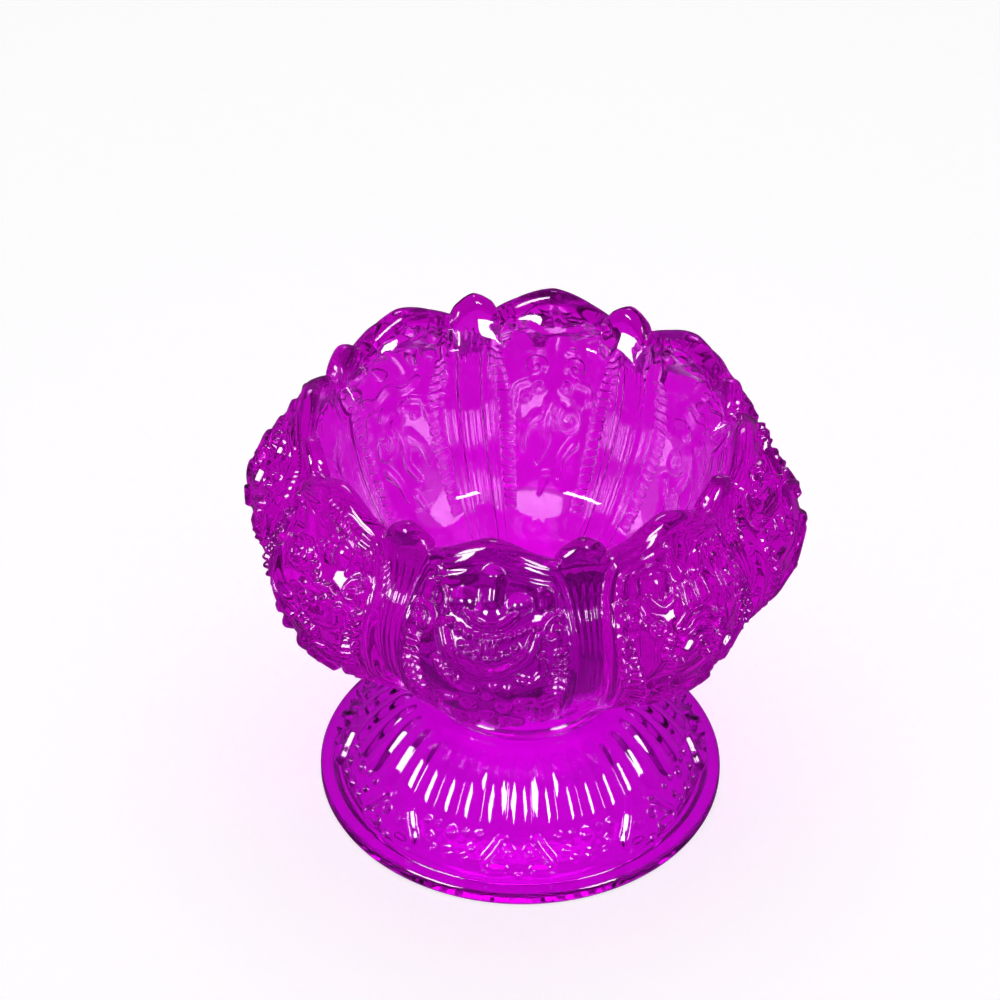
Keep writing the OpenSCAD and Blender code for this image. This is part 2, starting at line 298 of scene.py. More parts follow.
def spaced(points, pitch):
    """Places at an even pitch along the rounded path, with directions."""
    path = smooth_path(points)
    steps = np.hypot(*np.diff(path, axis=0).T)
    along = np.concatenate([[0], np.cumsum(steps)])
    count = max(1, round(along[-1] / pitch))
    at = np.linspace(0, along[-1], count + 1)

    def place(distance):
        return np.stack([np.interp(distance, along, path[:, i]) for i in (0, 1)], axis=1)

    way = place(np.minimum(at + WAY_REACH, along[-1])) - place(np.maximum(at - WAY_REACH, 0))
    return place(at), way / np.hypot(*way.T)[:, None]


def mark(points, half, height):
    """A round-backed stroke along a path. half may change from end to end."""
    path = np.array(points, float)
    halves = np.linspace(*half, len(path)) if isinstance(half, tuple) else np.full(len(path), half)
    widest = halves.max()
    low = path.min(axis=0) - widest
    high = path.max(axis=0) + widest

    def value(x, y):
        best = np.zeros(np.broadcast(x, y).shape)
        for (ax, ay), (bx, by), ha, hb in zip(path, path[1:], halves, halves[1:]):
            dx = bx - ax
            dy = by - ay
            t = clamp01(((x - ax) * dx + (y - ay) * dy) / max(dx * dx + dy * dy, LEAST_RUN))
            d = np.hypot(x - ax - t * dx, y - ay - t * dy)
            best = np.maximum(best, dome(d / mix(ha, hb, t)))
        return height * best

    return low, high, value


def line(points, half, height):
    return [mark(smooth_path(points), half, height)]


def dot(x, y, radius, height):
    """A round boss."""
    def value(px, py):
        return height * dome(np.hypot(px - x, py - y) / radius)

    centre = np.array([x, y])
    return [(centre - radius, centre + radius, value)]


def beads(points, pitch, radius, height):
    return [b for x, y in spaced(points, pitch)[0] for b in dot(x, y, radius, height)]


def rope(points, pitch, reach, half, height, lean):
    """Short slanted dashes across a path."""
    places, ways = spaced(points, pitch)
    across = np.stack([-ways[:, 1], ways[:, 0]], axis=1) + lean * ways
    return [mark([p - reach * a, p + reach * a], half, height) for p, a in zip(places, across)]


def curl(x, y, radius, start, turns, half, height):
    """A spiral that winds in from its outer end at the start angle (degrees,
    0 to the right, 90 down) by signed turns."""
    t = np.linspace(0, 1, CURL_POINTS)
    angle = np.radians(start + 360 * turns * t)
    r = radius * (1 - CURL_WIND * t)
    path = np.stack([x + r * np.cos(angle), y + r * np.sin(angle)], axis=1)
    return [mark(path, (half, half * CURL_TAPER), height)]


def ring(x, y, radius, half, height):
    angle = np.linspace(0, 2 * np.pi, RING_POINTS)
    path = np.stack([x + radius * np.cos(angle), y + radius * np.sin(angle)], axis=1)
    return [mark(path, half, height)]


def mirrored(marks_of):
    """The marks of a function of the side, drawn on both sides."""
    return marks_of(1) + marks_of(-1)


def turned(points, side):
    """The points as they are for side 1, and their mirror image for side -1."""
    return [(x * side, y) for x, y in points]


def line_pair(points, half, height):
    """A line and its mirror image."""
    return mirrored(lambda s: line(turned(points, s), half, height))


def curl_pair(x, y, radius, half, height):
    """A curl of one turn and its mirror image."""
    return mirrored(lambda s: curl(x * s, y, radius, 90 + 80 * s, s, half, height))


def draw(marks, x, y):
    """Height of the marks on a grid, with x by column and y by point."""
    total = np.zeros(y.shape)
    for low, high, value in marks:
        columns = np.nonzero((x >= low[0]) & (x <= high[0]))[0]
        if not len(columns):
            continue
        c = slice(columns[0], columns[-1] + 1)
        rows = np.nonzero(((y[:, c] >= low[1]) & (y[:, c] <= high[1])).any(axis=1))[0]
        if not len(rows):
            continue
        r = slice(rows[0], rows[-1] + 1)
        total[r, c] += value(x[c][None, :], y[r, c]) ** MELT_POWER
    return total ** (1 / MELT_POWER)


# Ornament of a large petal's panel

def panel_frame():
    """Fingers, curls and ropes at the sides, the same on every panel."""
    rope_path = [(11.4, 16.4), (11, 19), (10.2, 22), (9.3, 25.5), (8.8, 30), (8.8, 38), (8.6, 46)]

    def side(s):
        return (
            line(turned([(7.9, 7.4), (8.1, 9.4)], s), 0.95, 1.2)
            + line(turned([(9.8, 7.6), (10, 9.6)], s), 0.95, 1.2)
            + line(turned([(11.5, 8.4), (11.7, 10)], s), 0.8, 1.0)
            + curl(9.9 * s, 13.2, 2.2, 90 - 120 * s, -0.95 * s, 0.85, 1.4)
            + dot(12.4 * s, 14.6, 0.8, 0.9)
            + rope(turned(rope_path, s), 1.6, 0.9, 0.68, 1.0, 0.5 * s)
        )

    return mirrored(side)


def leaf_spray(hand):
    """The leaves at the foot of the panel. hand is 1 or -1, the way they turn."""
    def leaf(points, half, height):
        return line(turned(points, hand), half, height)

    return (
        dot(-2.1 * hand, 25.2, 1.5, 1.3)
        + dot(2.9 * hand, 25.4, 1.4, 1.3)
        + dot(5 * hand, 27, 1.1, 1.0)
        + leaf([(4.8, 24.2), (7, 25), (7.6, 28)], 0.8, 1.0)
        + leaf([(-4, 24), (-6.4, 24.6), (-6.8, 27)], 0.8, 1.0)
        + curl(-3.2 * hand, 30.4, 2.5, 90 - 130 * hand, 1.1 * hand, 1.0, 1.3)
        + leaf([(0.4, 28), (1.6, 31.4), (0.8, 35), (2.6, 38.4)], (1.5, 0.7), 1.3)
        + leaf([(3, 30.4), (5.2, 32.6), (5.6, 36)], (1.5, 0.6), 1.3)
        + leaf([(-4.6, 34.6), (-2.6, 37.6), (-2.2, 41)], (1.4, 0.6), 1.1)
        + leaf([(0.4, 41), (1.6, 44.6)], (1.1, 0.5), 0.8)
    )


# Emblems of good luck, one on each large petal, in simple forms

def jewel_bowl():
    """A jewel on a saucer over a pleated bowl with ribbons."""
    c = 0.6
    pearls = [(c - 5.8, 12), (c - 3, 12.9), (c, 13.3), (c + 3, 12.9), (c + 5.8, 12)]
    hem = [(c - 3.8, 14.6), (c - 2, 15.6), (c, 16), (c + 2, 15.6), (c + 3.8, 14.6)]
    bowl = [(c - 7, 13.2), (c - 5.6, 15.9), (c - 2.8, 17.8), (c, 18.4),
            (c + 2.8, 17.8), (c + 5.6, 15.9), (c + 7, 13.2)]
    return (
        line([(c, 4.7), (c, 7.8)], 2.0, 1.9)
        + line([(c, 7), (c, 9.6)], (1.2, 2.9), 1.4)
        + line([(c - 3.7, 10), (c - 1.6, 11.3), (c + 1.6, 11.3), (c + 3.7, 10)], 0.85, 1.6)
        + dot(c - 4.4, 8.6, 2.2, 1.4)
        + dot(c + 4.2, 8.6, 2.0, 1.4)
        + line([(-9.2, 4.6), (-7.5, 6)], 0.9, 1.0)
        + line([(-8.4, 7.2), (-6.7, 8.2), (-6.3, 10.4)], 0.7, 1.2)
        + beads(pearls, 1.5, 0.8, 1.1)
        + [m for k in (-1, 0, 1) for m in line([(c + 0.95 * k, 13.8), (c + 0.85 * k, 15.2)], 0.45, 1.1)]
        + beads(hem, 1.35, 0.72, 1.0)
        + line(bowl, 1.3, 1.7)
        + mirrored(lambda s: dot(c + 6.9 * s, 12.5, 1.1, 1.3))
        + line([(-6.6, 17.6), (-5.4, 19.7), (-3.2, 21.2), (-1.4, 21.4)], 0.85, 1.2)
        + line([(8.1, 16.6), (8.2, 18.6), (6.7, 20), (5, 19.4)], 0.8, 1.2)
        + beads([(-5.2, 18.6), (-3.2, 20)], 1.2, 0.6, 0.9)
        + dot(1.4, 20.6, 1.3, 1.2)
        + dot(3.4, 21, 0.95, 1.0)
        + dot(0.6, 22.9, 1.0, 1.0)
    )


def lotus():
    """An open lotus between a scrolled leaf and its stem."""
    return (
        line([(-1.4, 3.8), (-1.1, 6), (-0.4, 8.2)], (0.5, 1.2), 1.3)
        + dot(-5.2, 8.4, 2.9, 1.5)
        + line([(-7.9, 7), (-6.8, 5.9), (-4.8, 5.7), (-2.8, 7.2)], 0.7, 1.6)
        + line([(-6.6, 10.4), (-5, 12), (-3, 11.2)], 0.75, 1.4)
        + line([(4.6, 6.4), (2.4, 8.8)], 1.2, 1.5)
        + [m for x in (-1.9, 0.3, 2.5) for m in line([(x, 9.8), (1.1 * x, 12.6)], (0.6, 1.05), 1.5)]
        + line([(4, 9), (5, 12.4), (4.9, 16.4), (3.4, 19.4)], 0.7, 1.3)
        + line([(6.4, 7), (7, 11), (7, 15.6)], 0.5, 0.9)
        + line([(-2.6, 15.8), (-0.6, 14.5), (1.4, 14.6), (3, 15.9)], 0.9, 1.5)
        + line([(-2.4, 19.2), (-0.8, 17.4), (1, 17.4), (2.2, 19.2)], 0.9, 1.4)
        + dot(0.2, 19.4, 0.9, 1.2)
        + curl(-6.4, 15, 1.7, 200, 1.0, 0.65, 1.3)
        + beads([(-4.6, 17), (-5.4, 19.4), (-3.2, 21)], 1.3, 0.75, 1.0)
        + line([(1.2, 21.4), (3.8, 22.4), (5.8, 21.2)], (0.9, 0.5), 1.1)
    )


def conch():
    """A conch shell with its whorls, on a garland of pearls."""
    fringe = []
    for k in range(8):
        drop = 0.03 * k * k
        fringe += line([(1.15 * k - 0.6, 2.6 + drop), (1.15 * k - 0.7, 4 + drop)], 0.42, 0.6)
    return (
        fringe
        + dot(5.6, 8.3, 2.4, 1.5)
        + line([(6.4, 5.9), (7.9, 8), (7.6, 10.8)], 0.55, 1.4)
        + dot(2.7, 7.6, 1.3, 1.3)
        + dot(0.9, 9, 1.1, 1.1)
        + line([(-5.8, 6.4), (-3.4, 7.6), (-1.2, 10.4)], (0.7, 2.0), 1.5)
        + curl(-1.6, 11.6, 2.6, 200, 1.3, 0.6, 1.7)
        + beads([(-0.8, 12.4), (0.6, 11.3), (2.3, 11.9), (3.2, 13.6), (5.2, 13.6)], 1.5, 0.7, 1.2)
        + beads([(1, 14.9), (2.6, 17.6), (4.2, 16.2), (6.6, 15), (7.9, 16)], 1.6, 0.65, 1.1)
        + line([(6.1, 13.4), (7.7, 14.2), (9.3, 12.8)], 0.6, 1.2)
        + line([(-7, 14.6), (-4.2, 17.6), (-1, 18.4)], 1.1, 1.4)
        + line([(-6.4, 18), (-3.4, 20.6), (0.4, 21)], 0.8, 1.1)
        + beads([(2.4, 20), (4.9, 21.6), (3.8, 23.2)], 1.4, 0.85, 1.2)
    )


def parasol():
    """A parasol with a fringe over its staff."""
    return (
        line([(-5.6, 9.2), (-3.8, 6.7), (0, 5.4), (3.8, 6.7), (5.6, 9.2)], 1.5, 1.6)
        + dot(0, 3.6, 1.0, 1.2)
        + beads([(-6, 11.2), (-3, 11.8), (0, 12), (3, 11.8), (6, 11.2)], 1.5, 0.8, 1.2)
        + line([(0, 8), (0, 20.6)], 0.8, 1.4)
        + line_pair([(1, 13.6), (3, 15), (3.4, 17.8), (5.4, 19.6)], (1.1, 0.6), 1.3)
        + curl_pair(5.2, 14.6, 1.7, 0.6, 1.2)
        + line([(-3.4, 21.6), (0, 22.8), (3.4, 21.6)], 1.0, 1.2)
    )


def golden_fish():
    """Two fish nose to nose over waves."""
    return (
        line_pair([(1.2, 5.2), (3.2, 8.2), (3, 12), (1, 15.4)], (1.3, 0.9), 1.5)
        + line_pair([(3.3, 8.4), (3.2, 11)], 1.8, 1.6)
        + line_pair([(1, 15.4), (3.4, 18)], (0.7, 1.3), 1.3)
        + line_pair([(5.4, 7.4), (6.4, 9.8), (5.6, 12)], (0.9, 0.6), 1.1)
        + curl_pair(5.8, 17.6, 1.8, 0.65, 1.2)
        + line([(-6.4, 21), (-3.2, 22.4), (0, 21.2), (3.2, 22.4), (6.4, 21)], 0.9, 1.1)
    )


def wheel():
    """A wheel with eight spokes and its ribbon."""
    spokes = []
    for k in range(8):
        x = math.cos(k * math.pi / 4)
        y = math.sin(k * math.pi / 4)
        spokes += line([(1.6 * x, 10 + 1.6 * y), (4.4 * x, 10 + 4.4 * y)], 0.6, 1.3)
    return (
        ring(0, 10, 5, 0.95, 1.6)
        + dot(0, 10, 1.6, 1.7)
        + spokes
        + line([(-6.6, 16.4), (-3, 18.8), (0, 17.2), (3, 18.8), (6.6, 16.4)], 1.0, 1.3)
        + curl_pair(3.6, 21.6, 1.8, 0.65, 1.2)
    )


def endless_knot():
    """A knot of bands that run over and under each other."""
    return (
        [m for k in (-3, 0, 3) for m in line([(k - 3.2, k + 7), (k + 3.2, k + 13.4)], 0.8, 1.4)]
        + [m for k in (-3, 0, 3) for m in line([(k + 3.2, 7 - k), (k - 3.2, 13.4 - k)], 0.8, 1.4)]
        + line_pair([(3.6, 4.4), (6.4, 5.2), (6.2, 7.2)], 0.75, 1.3)
        + line_pair([(6.2, 13.2), (6.4, 15.2), (3.6, 16)], 0.75, 1.3)
        + dot(0, 18, 1.4, 1.3)
        + line_pair([(1, 18.8), (3.6, 19.8), (4.8, 22.2)], (1.1, 0.5), 1.2)
        + beads([(0, 20.2), (0, 23)], 1.4, 0.75, 1.0)
    )


def banner():
    """A banner in tiers with pleats and tassels."""
    tiers = []
    pleats = []
    for y in (6.2, 9.8, 13.4):
        tiers += line([(-3.6, y), (0, y - 0.5), (3.6, y)], 1.15, 1.5)
    for y in (8.1, 11.7, 15.3):
        for x in (-2.6, -0.9, 0.9, 2.6):
            pleats += line([(x, y - 0.5), (x, y + 0.6)], 0.6, 1.1)
    return (
        dot(0, 3.8, 1.3, 1.3)
        + tiers
        + pleats
        + line_pair([(4.8, 7), (6.4, 9.6), (5.4, 12.6), (6.6, 15.6)], (1.0, 0.6), 1.2)
        + line([(0, 17), (0, 22.4)], (1.3, 0.6), 1.3)
        + curl_pair(4.2, 20.4, 1.8, 0.65, 1.2)
    )


# In order of the angle from -Y towards +X
EMBLEMS = [jewel_bowl, lotus, endless_knot, parasol, wheel, golden_fish, banner, conch]


# Bowl. h is a height above its seat. c is 0 in the middle of a large petal,
# 1 at its edge and 2 in the middle of a small one. s is 0 where a panel's
# arch starts and 1 at its top.

swell_centre = (BELLY_R - BELLY_ROUND, BELLY_H)
swell_way = (swell_centre[0] - BOWL_SEAT_R, swell_centre[1])
underside_angle = math.atan2(swell_way[1], swell_way[0]) - math.asin(BELLY_ROUND / math.hypot(*swell_way))
tangent_h = BELLY_H - BELLY_ROUND * math.cos(underside_angle)


def outline_r(h):
    """Radius of the large petals' middle line."""
    under = BOWL_SEAT_R + h / math.tan(underside_angle)
    swell = swell_centre[0] + np.sqrt(np.maximum(0, BELLY_ROUND**2 - (h - BELLY_H) ** 2))
    above = mix(BELLY_R, LIP_R, ease((h - BELLY_H) / (BOWL_H - BELLY_H)))
    return np.where(h < tangent_h, under, np.where(h < BELLY_H, swell, above))


# Radii, lengths from the seat up and slopes along that line, by height
outline_hs = np.linspace(0, BOWL_H, OUTLINE_STEPS)
outline_rs = outline_r(outline_hs)
outline_ls = np.concatenate([[0], np.cumsum(np.hypot(np.diff(outline_hs), np.diff(outline_rs)))])
outline_slopes = np.gradient(outline_rs, outline_hs)

bowl_angle, bowl_across = column_angles(BOWL_COLUMNS)


def petal_half(h):
    """Half width of a large petal in degrees."""
    under = mix(PETAL_BASE_HALF, PETAL_BELLY_HALF, ease(h / BELLY_H))
    closing = clamp01((h - BELLY_H) / (BOWL_H - NOTCH_H - BELLY_H)) ** CLOSE_POWER
    return np.where(h < BELLY_H, under, mix(PETAL_BELLY_HALF, PETAL_RIM_HALF, closing))


def column_share(h):
    """c of each column. It changes with the height where a petal's edge leans."""
    half = petal_half(h)
    away = np.abs(bowl_across)[None, :]
    return np.where(away <= half, away / half, 1 + (away - half) / (PITCH / 2 - half))


def crest(c):
    """Height of the rim: an arch over each petal, notched between."""
    large = mix(BOWL_H, BOWL_H - NOTCH_H, clamp01(c) ** LARGE_TIP_POWER)
    small = mix(BOWL_H - SMALL_DROP, BOWL_H - NOTCH_H, clamp01(2 - c) ** SMALL_TIP_POWER)
    return np.where(c <= 1, large, small)


def row_heights():
    """Height of each point of the outside, by row and column."""
    top_h = BOWL_H - PETAL_ROUND
    even = np.linspace(0, np.interp(top_h, outline_hs, outline_ls), BOWL_ROWS + 1)
    level = np.interp(even, outline_ls, outline_hs)[:, None]
    bend = ease((level - LEVEL_H) / (top_h - LEVEL_H))
    h = level + np.zeros(len(bowl_across))
    for _ in range(BEND_PASSES):
        h = level - (BOWL_H - crest(column_share(h))) * bend
    return h


def petal_form(c, h):
    """How far the surface stands out from the outline."""
    large = -PETAL_CROWN * c * c
    small = SMALL_CROWN * (1 - (2 - c) ** 2) - PETAL_CROWN - PETAL_STEP
    fade_top = ease((BOWL_H - h) / ((BOWL_H - PANEL_ARCH_H) * SWELL_TOP_SHARE))
    return mix(large, small, ease((c - PETAL_EDGE) / EDGE_FADE)) * (ease(h / SWELL_FADE_H) * fade_top)


def borders(c, h, s):
    """The raised lines round a panel, the reeds beside it, and its sunk floor."""
    n = np.maximum(c, s)
    lines = LINE_H * ridges(n, LINES) * ease(c / LINE_RISE) * (c <= LINE_END)
    reeds = REED_H * ridges(c, REEDS) * ease((REED_TOP - s) / REED_FADE)
    sunk = PANEL_SINK * ease((SINK_EDGE - n) / EDGE_FADE)
    return (lines + reeds - sunk) * ease(h / BORDER_FADE_H)


def bowl_relief(c, h):
    """How far the borders and the panels' marks stand out from the petals."""
    arch_h = PANEL_TOP_H - PANEL_ARCH_H - (BOWL_H - crest(c))
    relief = borders(c, h, np.clip((h - PANEL_ARCH_H) / arch_h, 0, 2))
    down = outline_ls[-1] - np.interp(h, outline_hs, outline_ls)
    for p, emblem in enumerate(EMBLEMS):
        columns = petal_columns(p, BOWL_COLUMNS)
        x = np.radians(bowl_across[columns]) * PANEL_R
        inside = ease((RELIEF_EDGE - c[:, columns]) / EDGE_FADE)
        # The leaves turn the other way on every second petal
        hand = -1 if p % 2 else 1
        marks = panel_frame() + leaf_spray(hand) + emblem()
        relief[:, columns] += RELIEF_SCALE * draw(marks, x, down[:, columns]) * inside
    return relief


def cavity_profile():
    """(r, z) pairs from under the mouth to near the middle of the floor."""
    draft = math.atan2(MOUTH_R - WELL_R, MOUTH_H - WELL_FLOOR_T)
    turn = arc_points(WELL_R - WELL_ROUND, BOWL_Z + WELL_FLOOR_T + WELL_ROUND, WELL_ROUND,
                      -math.degrees(draft), -90, WELL_STEPS)
    mouth = (MOUTH_R, BOWL_Z + MOUTH_H)
    wall = [(mix(mouth[0], turn[0][0], t), mix(mouth[1], turn[0][1], t))
            for t in np.linspace(0, 1, WALL_STEPS + 1)[1:-1]]
    floor_r, floor_z = turn[-1]
    return wall + turn + [(floor_r * share, floor_z) for share in WELL_FLOOR_SHARES]


def bowl_rings():
    """The bowl's rings, and how many of them lie outside the mouth."""
    h = row_heights()
    c = column_share(h)
    r = outline_r(h) + petal_form(c, h)
    slope = np.interp(h, outline_hs, outline_slopes)
    lift = bowl_relief(c, h) / np.sqrt(1 + slope**2)
    petals = [polar(r[i] + lift[i], bowl_angle, BOWL_Z + h[i] - lift[i] * slope[i]) for i in range(len(h))]
    seat = [polar(BOWL_SEAT_R * share, bowl_angle, BOWL_Z) for share in BOWL_SEAT_SHARES]

    # A half round over the rim, then the petals' inner faces down to the mouth
    rim_r = r[-1] - PETAL_ROUND
    rim_h = h[-1]
    rim = [polar(rim_r + PETAL_ROUND * math.cos(a), bowl_angle, BOWL_Z + rim_h + PETAL_ROUND * math.sin(a))
           for a in np.radians(np.linspace(0, 180, RIM_STEPS + 1))[1:]]
    flare_r = rim_r - PETAL_ROUND
    flare = [polar(mix(flare_r, MOUTH_R, ease(t)), bowl_angle, BOWL_Z + mix(rim_h, MOUTH_H, t))
             for t in np.linspace(0, 1, FLARE_STEPS + 1)[1:]]
    outer = seat + petals + rim
    return outer + flare + level_rings(cavity_profile(), bowl_angle), len(outer)


# Foot and wafer

def bell_point(t):
    """(r, z) down the bell, from its seat to the ledge of the rim."""
    top = np.array([FOOT_SEAT_R, FOOT_H])
    low = np.array([BELL_R, RIM_H])
    h1 = top + (low - top) * BELL_TOP_HANDLE
    h2 = top + (low - top) * BELL_LOW_HANDLE
    t = np.asarray(t)[..., None]
    s = 1 - t
    return s**3 * top + 3 * s * s * t * h1 + 3 * s * t * t * h2 + t**3 * low


def foot_marks():
    """Ornament of one eighth: x in millimetres across at ORNAMENT_R, y up the bell."""
    fingers = [m for x in (-8.66, -4.33, 0, 4.33, 8.66) for m in line([(x, 9.4), (x, 18)], 2.15, 0.55)]

    def side(s):
        return (
            line(turned([(2.7, 7), (3.7, 5.2), (4.8, 3.4), (4.2, 2.4), (2.4, 2.4)], s), 0.95, 0.9)
            + dot(1.7 * s, 5.2, 1.2, 0.9)
            + dot(6.2 * s, 7.2, 0.7, 0.6)
            + dot(8.3 * s, 7.4, 0.75, 0.6)
            + dot(7.2 * s, 4.9, 0.7, 0.6)
            + dot(8.1 * s, 3.3, 0.65, 0.6)
            + dot(10.6 * s, 6.6, 1.1, 0.8)
            + dot(10.6 * s, 3.4, 0.9, 0.7)
        )

    return fingers + mirrored(side) + dot(0, 1.6, 0.6, 0.5)


def foot_relief(bell, across):
    """How far the ornament stands out from the bell."""
    down = np.concatenate([[0], np.cumsum(np.hypot(*np.diff(bell, axis=0).T))])
    up = (down[-1] - down)[:, None] + np.zeros(len(across))
    relief = np.zeros(up.shape)
    marks = foot_marks()
    for p in range(PETALS):
        columns = petal_columns(p, FOOT_COLUMNS)
        x = np.radians(across[columns]) * ORNAMENT_R
        relief[:, columns] = draw(marks, x, up[:, columns])
    return relief


def foot_rings():
    angle, across = column_angles(FOOT_COLUMNS)
    angle = angle + FOOT_TURN
    points = bell_point(np.linspace(0, 1, FOOT_ROWS + 1))
    relief = foot_relief(points, across)
    slope = np.gradient(points, axis=0)
    slope /= np.hypot(*slope.T)[:, None]
    out = np.stack([-slope[:, 1], slope[:, 0]], axis=1)
    bell = [polar(points[i, 0] + relief[i] * out[i, 0], angle, points[i, 1] + relief[i] * out[i, 1])
            for i in range(len(points))]

    hollow_r = FOOT_R - FOOT_WALL
    hollow = [(hollow_r * math.cos(a), HOLLOW_H * math.sin(a))
              for a in np.radians(np.linspace(HOLLOW_END, 0, HOLLOW_STEPS + 1))]
    under = [(hollow_r + UNDER_RING, 0), (FOOT_R - RIM_ROUND, 0)]
    edge = arc_points(FOOT_R - RIM_ROUND, RIM_ROUND, RIM_ROUND, -90, 0, EDGE_STEPS)[1:]
    edge += arc_points(FOOT_R - RIM_ROUND, RIM_H - RIM_ROUND, RIM_ROUND, 0, 90, EDGE_STEPS)
    edge += [(BELL_R + LEDGE_RING, RIM_H)]
    seat = [(FOOT_SEAT_R * share, FOOT_H) for share in FOOT_SEAT_SHARES]
    rings = level_rings(hollow + under + edge, angle) + bell[::-1] + level_rings(seat, angle)
    return rings, len(rings)


def wafer_rings():
    angle = np.linspace(0, 360, WAFER_COLUMNS, endpoint=False)
    low = FOOT_H + FACE_GAP
    high = BOWL_Z - FACE_GAP
    half = (high - low) / 2
    profile = [(FOOT_SEAT_R * share, low) for share in WAFER_FACE_SHARES]
    profile += arc_points(WAFER_R - half, low + half, half, -90, 90, WAFER_STEPS)
    profile += [(BOWL_SEAT_R * share, high) for share in reversed(WAFER_FACE_SHARES)]
    return level_rings(profile, angle), len(profile)


# Materials

# Tints of the skins. Light that comes through the bowl's wall takes the tints
# of both its skins. The inner one is paler and lets some green through: a
# painted lilac sheen in the cavity, standing in for the bright reflections on
# its back wall, over the glass's own magenta.
BOWL_TINT = (0.43, 0.00001, 0.42, 1)
CAVITY_PAINTED_SHEEN_TINT = (0.7, 0.34, 0.73, 1)
FOOT_TINT = (0.46, 0.00003, 0.5, 1)
GLOSS_TINT = (0.2, 0.02, 0.2, 1)
WHITE = (1, 1, 1, 1)
BOWL_IOR = 1.2
FOOT_IOR = 1.45
COAT_IOR = 1.5
GLASS_ROUGHNESS = 0.03
COAT_ROUGHNESS = 0.01
# Height in metres of the faint wave in the glass, and how fine it is
WAVE_HEIGHT = 0.00012
BOWL_WAVE_SCALE = 90
WAFER_WAVE_SCALE = 120
FOOT_WAVE_SCALE = 100


def new_material(name):
    material = bpy.data.materials.new(name)
    material.use_nodes = True
    return material, material.node_tree.nodes, material.node_tree.links


def set_inputs(node, values):
    for name, value in values.items():
        node.inputs[name].default_value = value


def joint_glass():
    """Where the pieces are fused, light passes from one to the next unbent."""
    material, nodes, _ = new_material("fused_joint")
    set_inputs(nodes["Principled BSDF"], {
        "Base Color": WHITE,
        "Roughness": 0,
        "IOR": 1,
        "Transmission Weight": 1,
    })
    return material


def glass(name, tint, ior, wave_scale):
    """Clear magenta glass, fire-polished: the skin has only a faint wave."""
    material, nodes, links = new_material(name)
    shader = nodes["Principled BSDF"]
    set_inputs(shader, {
        "Base Color": tint,
        "Roughness": GLASS_ROUGHNESS,
        "IOR": ior,
        "Transmission Weight": 1,
        "Specular Tint": GLOSS_TINT,
        "Coat Weight": 1,
        "Coat Roughness": COAT_ROUGHNESS,
        "Coat IOR": COAT_IOR,
    })
    place = nodes.new("ShaderNodeTexCoord")
    wave = nodes.new("ShaderNodeTexNoise")
    set_inputs(wave, {"Scale": wave_scale, "Detail": 2})
    bump = nodes.new("ShaderNodeBump")
    set_inputs(bump, {"Strength": 1, "Distance": WAVE_HEIGHT})
    links.new(place.outputs["Object"], wave.inputs["Vector"])
    links.new(wave.outputs["Fac"], bump.inputs["Height"])
    links.new(bump.outputs["Normal"], shader.inputs["Normal"])
    return material


def math_node(nodes, links, operation, first, second):
    """Two sockets, or a socket and a number, put together and kept from 0 to 1."""
    node = nodes.new("ShaderNodeMath")
    node.operation = operation
    node.use_clamp = True
    links.new(first, node.inputs[0])
    if isinstance(second, float):
        node.inputs[1].default_value = second
    else:
        links.new(second, node.inputs[1])
    return node.outputs[0]


# Stage, in metres. The floor's own light makes it white to the camera and
# through the glass. Its grey takes the light and the shadow of the lamps, and
# is darker in the glass's gloss, so that the glass stays deep.
FLOOR_R = 6.0
FLOOR_CORNERS = 72
FLOOR_DROP = 0.00003
FLOOR_GLOW = 0.72
FLOOR_GREY = 0.5
FLOOR_GREY_IN_GLOSS = 0.05
# Light of the room on the object. The camera sees it white.
ROOM_LEVEL = 0.03
# Height of the point that the lamps aim at
AIM_H = 0.045


def grey(level):
    return (level, level, level, 1)


def floor_material():
    material, nodes, links = new_material("floor_paper")
    shader = nodes["Principled BSDF"]
    set_inputs(shader, {"Roughness": 1, "Specular IOR Level": 0, "Emission Color": WHITE})
    path = nodes.new("ShaderNodeLightPath").outputs
    seen = math_node(nodes, links, "MAXIMUM", path["Is Camera Ray"], path["Is Transmission Ray"])
    glow = math_node(nodes, links, "MULTIPLY", seen, FLOOR_GLOW)
    in_gloss = math_node(nodes, links, "SUBTRACT", path["Is Glossy Ray"], path["Is Transmission Ray"])
    paper = nodes.new("ShaderNodeMix")
    paper.data_type = "RGBA"
    set_inputs(paper, {"A": grey(FLOOR_GREY), "B": grey(FLOOR_GREY_IN_GLOSS)})
    links.new(in_gloss, paper.inputs["Factor"])
    links.new(paper.outputs["Result"], shader.inputs["Base Color"])
    links.new(glow, shader.inputs["Emission Strength"])
    return material


def make_floor():
    mesh = bpy.data.meshes.new("floor")
    angles = np.radians(np.arange(FLOOR_CORNERS) * 360 / FLOOR_CORNERS)
    corners = [(FLOOR_R * math.cos(a), FLOOR_R * math.sin(a), -FLOOR_DROP) for a in angles]
    mesh.from_pydata(corners, [], [list(range(FLOOR_CORNERS))])
    floor = bpy.data.objects.new("floor", mesh)
    bpy.context.scene.collection.objects.link(floor)
    mesh.materials.append(floor_material())


def make_world():
    world = bpy.data.worlds.new("room")
    bpy.context.scene.world = world
    world.use_nodes = True
    nodes, links = world.node_tree.nodes, world.node_tree.links
    background = nodes["Background"]
    background.inputs["Color"].default_value = WHITE
    path = nodes.new("ShaderNodeLightPath").outputs
    seen = math_node(nodes, links, "MAXIMUM", path["Is Camera Ray"], path["Is Transmission Ray"])
    level = nodes.new("ShaderNodeMapRange")
    set_inputs(level, {"To Min": ROOM_LEVEL, "To Max": 1})
    links.new(seen, level.inputs["Value"])
    links.new(level.outputs["Result"], background.inputs["Strength"])


